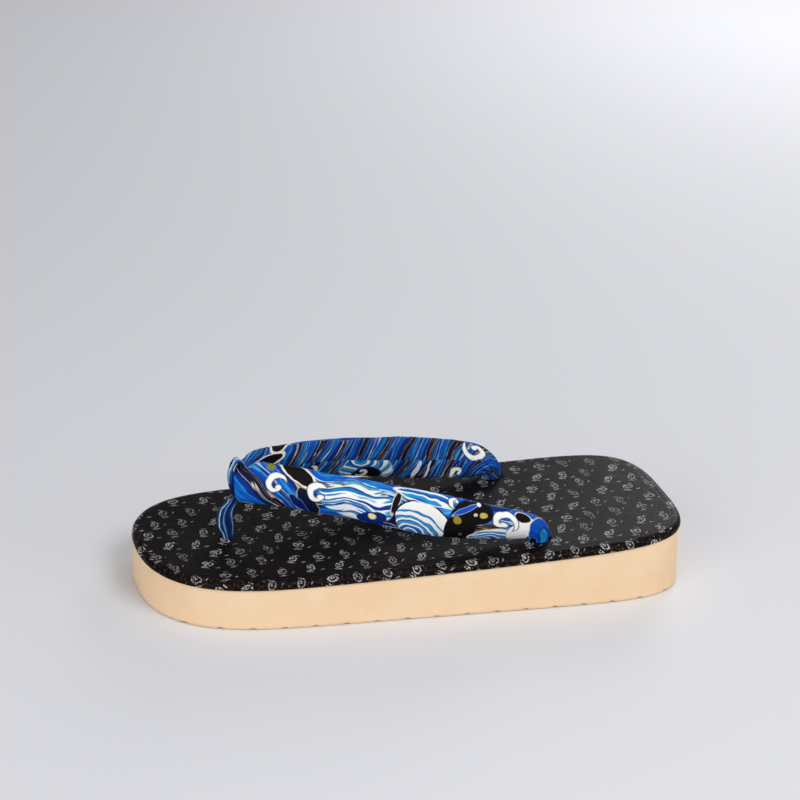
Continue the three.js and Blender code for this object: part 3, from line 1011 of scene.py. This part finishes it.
@dataclass
class CoveredFootbed:
    """The covered pad: a rounded rim with a pressed line inside it, and holes with dipped edges."""

    form: SoleForm
    finish: CoverFinish = CoverFinish()
    around: int = 360
    uneven: float = 0.16 * MM  # of the rim
    rough: float = 0.08 * MM  # of the top
    rim_from: float = 1.5 * MM  # where the "rim" value starts to fade, inside the outline
    rim_to: float = 5.5 * MM
    rim_sample: int = 3
    slices: tuple[int, int] = (84, 20)  # of the top, along and across
    slice_wide: float = 4.5 * MM
    crease: float = 32
    # how far inside the outline, and over the foam, each ring is, in millimetres
    rings: tuple[tuple[float, float], ...] = (
        (3.0, 0.05), (0.5, 0.06), (0.12, 0.2), (0.0, 0.55), (0.0, 1.1), (0.12, 1.65), (0.4, 2.2),
        (0.85, 2.75), (1.5, 3.2), (2.3, 3.48), (3.2, 3.62), (3.9, 3.64), (4.3, 3.59), (4.7, 3.63),
        (5.3, 3.69), (6.2, 3.7),
    )

    def build(self, effects: Effects) -> bpy.types.Object:
        """Builds the footbed and hands it in."""
        points, inwards = self.form.outline(self.around)

        def place(turn: float, share: float) -> Vector:
            inset, rise = self.rings[round(share * (len(self.rings) - 1))]
            i = round(turn * self.around) % self.around
            wave = noise.noise(Vector((points[i].x * 300, points[i].y * 300, rise))) * self.uneven
            spot = points[i] + inwards[i] * (inset * MM + abs(wave))
            return Vector((spot.x, spot.y, rise * MM))

        def chart(turn: float, share: float) -> Vector:
            ring = round(share * (len(self.rings) - 1))
            i = round(turn * self.around) % self.around
            rolled = sum(math.dist(a, b) for a, b in zip(self.rings[ring:], self.rings[ring + 1 :]))
            return (points[i] + inwards[i] * (self.rings[-1][0] - rolled) * MM) * CHART

        bm = skin(self.around, len(self.rings) - 1, place, chart)
        cloth = bm.loops.layers.uv.active
        for face in bm.faces:
            if len(face.verts) > 4:
                for loop in face.loops:
                    loop[cloth].uv = loop.vert.co.xy * CHART
        rim = bm.verts.layers.float.new("rim")
        for vert in bm.verts:
            near = min((vert.co.xy - p).length for p in points[:: self.rim_sample])
            vert[rim] = 1 - eased(near, self.rim_from, self.rim_to)
        half = self.form.length / 2 - 4 * MM
        long, wide = self.slices
        cuts = [self.form.middle + half * (i * 2 / long - 1) for i in range(long + 1)]
        slice_by(bm, Vector((0, 1, 0)), cuts)
        slice_by(bm, Vector((1, 0, 0)), [(i - wide / 2) * self.slice_wide for i in range(wide + 1)])
        for vert in bm.verts:
            x, y, rise = vert.co
            rough = noise.noise(Vector((x * 45, y * 45, 3.0))) * self.rough if rise > 1 * MM else 0.0
            vert.co.z = self.form.foam_top(y) + rise + rough
        piece = piece_from(bm, "covered_footbed", self.finish.material(effects), self.crease)
        drill(piece, Holes(self.form).cutters(), self.crease)
        hand_in(piece, "footbed", Slot.COVER)
        return piece


# ---- Strap and loop ----


@dataclass(frozen=True)
class Row:
    """One section of a swept piece, in millimetres and degrees.

    side and fore place its middle, rise is its height over the footbed, deep and thick its size. lean
    tips its upper edge outwards and pitch turns it down into its hole.
    """

    side: float
    fore: float
    rise: float
    deep: float
    thick: float
    lean: float = 0.0
    pitch: float = 0.0


@dataclass(frozen=True)
class Section:
    """A section's middle, half axes and distance along the run."""

    middle: Vector
    up: Vector
    out: Vector
    run: float = 0.0


def smooth_between(points: Sequence[Vector], share: float) -> Vector:
    """Point on a centripetal Catmull-Rom curve.

    Args:
        points: what it passes through.
        share: how far along, 0 to 1.

    Returns:
        The point.
    """
    place = share * (len(points) - 1)
    i = min(int(place), len(points) - 2)
    t = place - i
    p1, p2 = points[i], points[i + 1]
    p0 = points[i - 1] if i else 2 * p1 - p2
    p3 = points[i + 2] if i + 2 < len(points) else 2 * p2 - p1
    gaps = [max((b - a).length, 1e-8) ** 0.5 for a, b in ((p0, p1), (p1, p2), (p2, p3))]
    if gaps[1] < 1e-4:
        gaps[1] = 1.0
    gaps[0] = gaps[1] if gaps[0] < 1e-4 else gaps[0]
    gaps[2] = gaps[1] if gaps[2] < 1e-4 else gaps[2]
    a, b, c = gaps
    into = ((p1 - p0) / a - (p2 - p0) / (a + b) + (p2 - p1) / b) * b
    away = ((p2 - p1) / b - (p3 - p1) / (b + c) + (p3 - p2) / c) * b
    return p1 + into * t + (3 * (p2 - p1) - 2 * into - away) * t**2 + (2 * (p1 - p2) + into + away) * t**3


@dataclass
class Sweep:
    """A run of sections through a table of rows."""

    form: SoleForm
    rows: Sequence[Row]

    def at(self, share: float) -> Section:
        """The section at a share of the way along."""
        route = [Vector((r.side * MM, r.fore * MM + self.form.middle, 0.0)) for r in self.rows]
        for spot, row in zip(route, self.rows):
            spot.z = self.form.foam_top(spot.y) + self.form.cover + row.rise * MM
        size = smooth_between([Vector((r.deep, r.thick, 0.0)) for r in self.rows], share) * MM / 2
        turn = smooth_between([Vector((r.lean, r.pitch, 0.0)) for r in self.rows], share)
        lean, pitch = math.radians(turn.x), math.radians(turn.y)
        ahead = smooth_between(route, min(share + 1e-3, 1.0)) - smooth_between(route, max(share - 1e-3, 0.0))
        up = Vector((0.0, -math.sin(pitch), math.cos(pitch)))
        out = up.cross(ahead).normalized()
        leaned = up * math.cos(lean) + out * math.sin(lean)
        outer = out * math.cos(lean) - up * math.sin(lean)
        return Section(smooth_between(route, share), leaned * size.x, outer * size.y)

    def sections(self, count: int, start: float) -> list[Section]:
        """Sections evenly through the table, with distances measured from a share of the way along.

        Args:
            count: how many steps between them.
            start: the share where the distance is zero.

        Returns:
            The sections, one more than the steps.
        """
        made = [self.at(i / count) for i in range(count + 1)]
        run = [0.0]
        for before, after in zip(made, made[1:]):
            run.append(run[-1] + (after.middle - before.middle).length)
        zero = run[round(start * count)]
        return [Section(s.middle, s.up, s.out, r - zero) for s, r in zip(made, run)]


ARM = (
    Row(0, 81.4, 27.6, 19.4, 7, -10), Row(5.6, 75, 28.7, 20, 7.4, -7), Row(11.9, 60, 27.8, 19.4, 7.5, -6),
    Row(17.4, 45, 26.1, 19.1, 7.5, -5), Row(21.7, 30, 23.7, 19.4, 7.5, -5),
    Row(25.4, 15, 20.6, 20.3, 7.5, -5), Row(28.7, 0, 17.4, 21, 7.5, -2), Row(31.1, -15, 14.3, 20.3, 7.4, 6),
    Row(32.6, -30, 11.4, 18.5, 7.2, 15), Row(33.3, -39, 9.6, 17.1, 7, 18),
    Row(33.6, -45, 8.2, 15.2, 6.8, 19, 8), Row(33.3, -48.4, 6.4, 12.4, 6.5, 16, 26),
    Row(32.8, -50.1, 4.6, 10.9, 6.2, 11, 47), Row(32.3, -51.2, 2.7, 10.2, 5.8, 5, 69),
    Row(32, -51.5, 0.6, 9.8, 5.5, 0, 90), Row(32, -51.5, -4, 9.6, 5.4, 0, 90),
    Row(32, -51.5, -11, 9.4, 5.2, 0, 90),
)
POST = (
    Row(0, 83.6, 18.6, 4.2, 4.6, 0, 90), Row(0, 84.3, 17, 4.6, 4.8, 0, 90), Row(0, 85.9, 14.2, 5.8, 5, 0, 90),
    Row(0, 86.8, 10.3, 7, 5, 0, 90), Row(0, 86.3, 5.7, 7, 5, 0, 90), Row(0, 85.2, 1.6, 5.7, 5, 0, 90),
    Row(0, 84.9, -1, 5.2, 4.9, 0, 90), Row(0, 84.9, -10, 5, 4.9, 0, 90),
)


@dataclass(frozen=True)
class Bend:
    """The upright oval round which the toe loop's ring lies, at the strap's bend."""

    middle: Vector
    thin: float = 3.1 * MM
    tall: float = 9.3 * MM
    lean: float = math.radians(-10)
    band: float = 2.6 * MM  # how far to each side the ring draws the strap in fully
    spread: float = 2.4 * MM  # how far beyond that it lets go of it
    snug: float = 0.97

    @classmethod
    def on(cls, form: SoleForm) -> "Bend":
        """The oval at the strap's first row."""
        y = ARM[0].fore * MM + form.middle
        return cls(Vector((0.0, y, form.foam_top(y) + form.cover + ARM[0].rise * MM)))

    def out(self, turn: float, spare: float = 0.0) -> Vector:
        """Point of the oval at an angle, a spare further out."""
        flat = Vector((0.0, (self.thin + spare) * math.cos(turn), (self.tall + spare) * math.sin(turn)))
        return self.middle + Matrix.Rotation(-self.lean, 3, "X").inverted() @ flat

    def cinched(self, spot: Vector) -> Vector:
        """Draws a point of the strap inside the ring, less and less further from it."""
        turn = Matrix.Rotation(-self.lean, 3, "X")
        flat = turn @ (spot - self.middle)
        size = math.hypot(flat.y / self.thin, flat.z / self.tall)
        off = max(abs(spot.x) - self.band, 0.0) / self.spread
        limit = self.snug + 0.5 * off**0.6
        if size <= limit or off > 1:
            return spot
        flat.y *= limit / size
        flat.z *= limit / size
        return self.middle + turn.inverted() @ flat


@dataclass
class PaddedStrap:
    """Both arms of the strap: a padded tube of cloth with its seam along the inner face and gathered ends."""

    form: SoleForm
    finish: PrintFinish = PrintFinish()
    around: int = 72
    steps_per_row: int = 9
    girth: float = 46 * MM
    usual_half: tuple[float, float] = (10 * MM, 3.75 * MM)
    inner_flat: float = 0.15
    seam_deep: float = 0.5 * MM
    seam_half: float = 0.07
    pleats: int = 11
    pleat_deep: float = 0.42 * MM
    end_gather: tuple[float, float] = (15 * MM, 1 * MM)  # before the holes, where it starts and is full
    bend_gather: tuple[float, float] = (3 * MM, 11 * MM)  # past the bend, where it lets go and is gone
    bend_share: float = 0.45  # how strong the bend's folds are, to the ends'
    under_turn: tuple[float, float] = (7 * MM, 3 * MM)  # before the holes, where the turn presses below
    hole_grip: tuple[float, float] = (-0.5 * MM, 1 * MM)  # past the holes' edges, where they press
    soft: float = 0.3 * MM
    ripple: float = 0.14 * MM
    held_in: float = 0.7  # share of the folds that the holes press flat
    # near the bend a section's points stay on its own side, this share of its distance out, up to a limit
    least_side: float = 0.25
    side_limit: float = 2.4 * MM
    crease: float = 80

    def cloth_turns(self) -> list[float]:
        """Share of the girth at each step round an oval of the strap's usual size."""
        angles = [i / self.around * math.tau for i in range(self.around + 1)]
        deep, thick = self.usual_half
        spots = [Vector((deep * math.sin(a), thick * math.cos(a))) for a in angles]
        lengths = [0.0]
        for a, b in zip(spots, spots[1:]):
            lengths.append(lengths[-1] + (b - a).length)
        return [part / lengths[-1] - 0.5 for part in lengths]

    def surface(self, section: Section, angle: float, last: float) -> Vector:
        """Point of the cloth.

        Args:
            section: the section it is on.
            angle: from the middle of the outer face, upwards.
            last: distance from the bend to the holes.

        Returns:
            The point.
        """
        up, out = math.sin(angle), math.cos(angle)
        shaped = out
        if out < 0:
            shaped = out * (1 - self.inner_flat * abs(2 * out * up))
            shaped += self.seam_deep / section.out.length * math.exp(-((up / self.seam_half) ** 2))
        spot = section.middle + section.up * up + section.out * shaped
        tall, thick = section.up.length, section.out.length
        away = (section.up * up / tall**2 * thick + section.out * out / thick).normalized()
        run = abs(section.run)
        gather = eased(run, last - self.end_gather[0], last - self.end_gather[1])
        gather += self.bend_share * (1 - eased(run, *self.bend_gather))
        fold = math.sin(self.pleats * angle + 1.4 * math.sin(2 * angle) + run * 90) * self.pleat_deep * gather
        soft = noise.noise(Vector((section.run * 70, up * 0.8, out * 0.8 + 1.5))) * self.soft
        ripple = noise.noise(Vector((section.run * 260, up * 1.4, out + 7))) * self.ripple
        below = eased(run, last - self.under_turn[0], last - self.under_turn[1]) * max(-up, 0.0)
        in_hole = eased(run, last + self.hole_grip[0], last + self.hole_grip[1])
        held = 1 - self.held_in * max(below, in_hole)
        return spot + away * (fold + soft + ripple) * held

    def build(self, effects: Effects) -> bpy.types.Object:
        """Builds the strap and hands it in."""
        rows = (*(replace(row, side=-row.side) for row in reversed(ARM[1:])), *ARM)
        steps = (len(rows) - 1) * self.steps_per_row
        sections = Sweep(self.form, rows).sections(steps, 0.5)
        turns = self.cloth_turns()
        bend = Bend.on(self.form)
        hole = next(i for i, r in enumerate(ARM) if r.pitch == 90)
        last = sections[(len(ARM) - 1 + hole) * self.steps_per_row].run

        def place(turn: float, share: float) -> Vector:
            section = sections[round(share * steps)]
            spot = self.surface(section, (turn - 0.5) * math.tau, last)
            side = math.copysign(1.0, section.run)
            least = min(self.least_side * abs(section.run), self.side_limit)
            spot.x = side * max(side * spot.x, least)
            return bend.cinched(spot)

        def chart(turn: float, share: float) -> Vector:
            section = sections[round(share * steps)]
            return Vector((section.run, turns[round(turn * self.around)] * self.girth)) * CHART

        bm = skin(self.around, steps, place, chart)
        piece = piece_from(bm, "padded_strap", self.finish.material(effects), self.crease)
        hand_in(piece, "strap", Slot.PRINT)
        return piece


@dataclass
class ToeLoop:
    """Folded strip of cloth: a ring round the strap's bend and two strands that go down the front hole."""

    form: SoleForm
    finish: LoopFinish = LoopFinish()
    half_wide: float = 2.5 * MM
    half_thick: float = 0.9 * MM
    ring_steps: int = 120
    band_sides: int = 32
    strand_sides: int = 48
    steps_per_row: int = 8
    narrower: float = 0.16  # share of the ring's width lost below the bend
    thinner: float = 0.42  # share of its thickness lost above it
    fold_at: float = 0.5 * MM
    fold_half: float = 0.35 * MM
    fold_deep: float = 0.3 * MM
    crumple: float = 0.12 * MM
    groove: float = 0.26  # depth of the groove between the strands, to their radius
    twist_from: float = -18  # turn of the strands at their top, in degrees
    twist: float = 50
    # how much cloth the chart gives the ring and the post
    ring_length: float = 45 * MM
    ring_girth: float = 8 * MM
    ring_start: float = 6 * MM
    post_girth: float = 24 * MM
    crease: float = 80

    def ring(self) -> bmesh.types.BMesh:
        """Builds the ring, a rounded band that is narrower below the bend and thinner above it."""
        bend = Bend.on(self.form)

        def place(turn: float, share: float) -> Vector:
            angle = share * math.tau
            face = turn * math.tau
            low, high = eased(-math.sin(angle), 0.3, 1.0), eased(math.sin(angle), 0.2, 1.0)
            wide = self.half_wide * (1 - self.narrower * low)
            thick = self.half_thick * (1 - self.thinner * high)
            side = math.copysign(abs(math.cos(face)) ** 0.7, math.cos(face)) * wide
            lift = math.copysign(abs(math.sin(face)) ** 0.6, math.sin(face)) * thick
            if lift > 0:
                lift -= self.fold_deep * math.exp(-(((side - self.fold_at) / self.fold_half) ** 2))
            rough = noise.noise(Vector((side * 500, math.cos(angle) * 4, math.sin(angle) * 4)))
            lift += rough * self.crumple
            spot = bend.out(angle, thick + lift)
            spot.x += side
            return spot

        def chart(turn: float, share: float) -> Vector:
            return Vector((share * self.ring_length, turn * self.ring_girth + self.ring_start)) * CHART

        return skin(self.band_sides, self.ring_steps, place, chart)

    def strands(self) -> bmesh.types.BMesh:
        """Builds the post, two strands side by side that turn a little as they go down."""
        steps = (len(POST) - 1) * self.steps_per_row
        sections = Sweep(self.form, POST).sections(steps, 0.0)

        def place(turn: float, share: float) -> Vector:
            section = sections[round(share * steps)]
            angle = turn * math.tau
            twist = math.radians(self.twist_from + self.twist * share)
            dent = 1 - self.groove * abs(math.cos(angle - twist)) ** 6
            swell = 1 + 0.05 * math.sin(share * 19 + 2 * angle) + 0.025 * math.sin(6 * angle + share * 9)
            round_it = section.up * math.sin(angle) + section.out * math.cos(angle)
            return section.middle + round_it * dent * swell

        def chart(turn: float, share: float) -> Vector:
            return Vector((sections[round(share * steps)].run, turn * self.post_girth)) * CHART

        return skin(self.strand_sides, steps, place, chart)

    def build(self, effects: Effects) -> None:
        """Builds the ring and the strands as one piece and hands it in."""
        bm = self.ring()
        strands = bpy.data.meshes.new("strands")
        post = self.strands()
        post.to_mesh(strands)
        post.free()
        bm.from_mesh(strands)
        bpy.data.meshes.remove(strands)
        piece = piece_from(bm, "toe_loop_cloth", self.finish.material(effects), self.crease)
        hand_in(piece, "toe_loop", Slot.LOOP)


# ---- The studio ----


@dataclass(frozen=True)
class Softbox:
    """A square light: where it is, what it faces, its side and its power."""

    name: str
    place: tuple[float, float, float]
    side: float
    power: float
    faces: tuple[float, float, float] = (0.0, 0.0, 0.02)


@dataclass(frozen=True)
class Studio:
    """Camera, floor and lights."""

    camera_place: tuple[float, float, float] = (-0.99109, 0.37429, 0.56627)
    camera_aim: tuple[float, float, float] = (0.0344, -0.00209, 0.06957)
    camera_roll: float = 5.66
    lens: float = 116.9
    floor: str = "e6e6ea"
    floor_half: float = 4.0
    air: str = "f2f5fa"
    air_power: float = 0.34
    lights: tuple[Softbox, ...] = (
        Softbox("key", (-0.75, -0.35, 1.15), 0.7, 7.6),
        Softbox("front", (-0.9, 0.95, 0.55), 0.9, 7.7),
        Softbox("heel", (-0.7, -1.0, 0.5), 0.7, 2.3),
        Softbox("back", (0.92, -0.72, 0.5), 0.5, 3.6),
    )

    def aimed(self, place: Sequence[float], aim: Sequence[float], roll: float = 0.0) -> Matrix:
        """Placing matrix of something that looks from a place to another."""
        turn = (Vector(aim) - Vector(place)).to_track_quat("-Z", "Y").to_matrix().to_4x4()
        return Matrix.Translation(place) @ turn @ Matrix.Rotation(math.radians(roll), 4, "Z")

    def set_up(self) -> None:
        """Makes the camera, the floor and the lights."""
        scene = bpy.context.scene
        lens = bpy.data.cameras.new("camera")
        lens.lens, lens.sensor_width, lens.clip_start = self.lens, 36.0, 0.01
        camera = bpy.data.objects.new("camera", lens)
        camera.matrix_world = self.aimed(self.camera_place, self.camera_aim, self.camera_roll)
        scene.collection.objects.link(camera)
        scene.camera = camera
        scene.view_settings.view_transform = "Standard"
        for box in self.lights:
            lamp = bpy.data.lights.new(box.name, "AREA")
            lamp.energy, lamp.size = box.power, box.side
            light = bpy.data.objects.new(box.name, lamp)
            light.matrix_world = self.aimed(box.place, box.faces)
            scene.collection.objects.link(light)
        world = bpy.data.worlds.new("air")
        world.use_nodes = True
        background = world.node_tree.nodes["Background"]
        background.inputs[0].default_value = tint(self.air)
        background.inputs[1].default_value = self.air_power
        scene.world = world
        bm = bmesh.new()
        bmesh.ops.create_grid(bm, x_segments=1, y_segments=1, size=self.floor_half)
        material, _, shader = new_material("floor", 0.8)
        shader.inputs["Base Color"].default_value = tint(self.floor)
        piece_from(bm, "floor", material, 30)


def main() -> None:
    """Builds the studio and the sandal."""
    logging.basicConfig(level=logging.INFO, format="%(name)s: %(message)s")
    Studio().set_up()
    effects = Effects()
    form = SoleForm.from_frame()
    FoamWedge(form).build()
    CoveredFootbed(form).build(effects)
    PaddedStrap(form).build(effects)
    ToeLoop(form).build(effects)


if __name__ == "__main__":
    main()
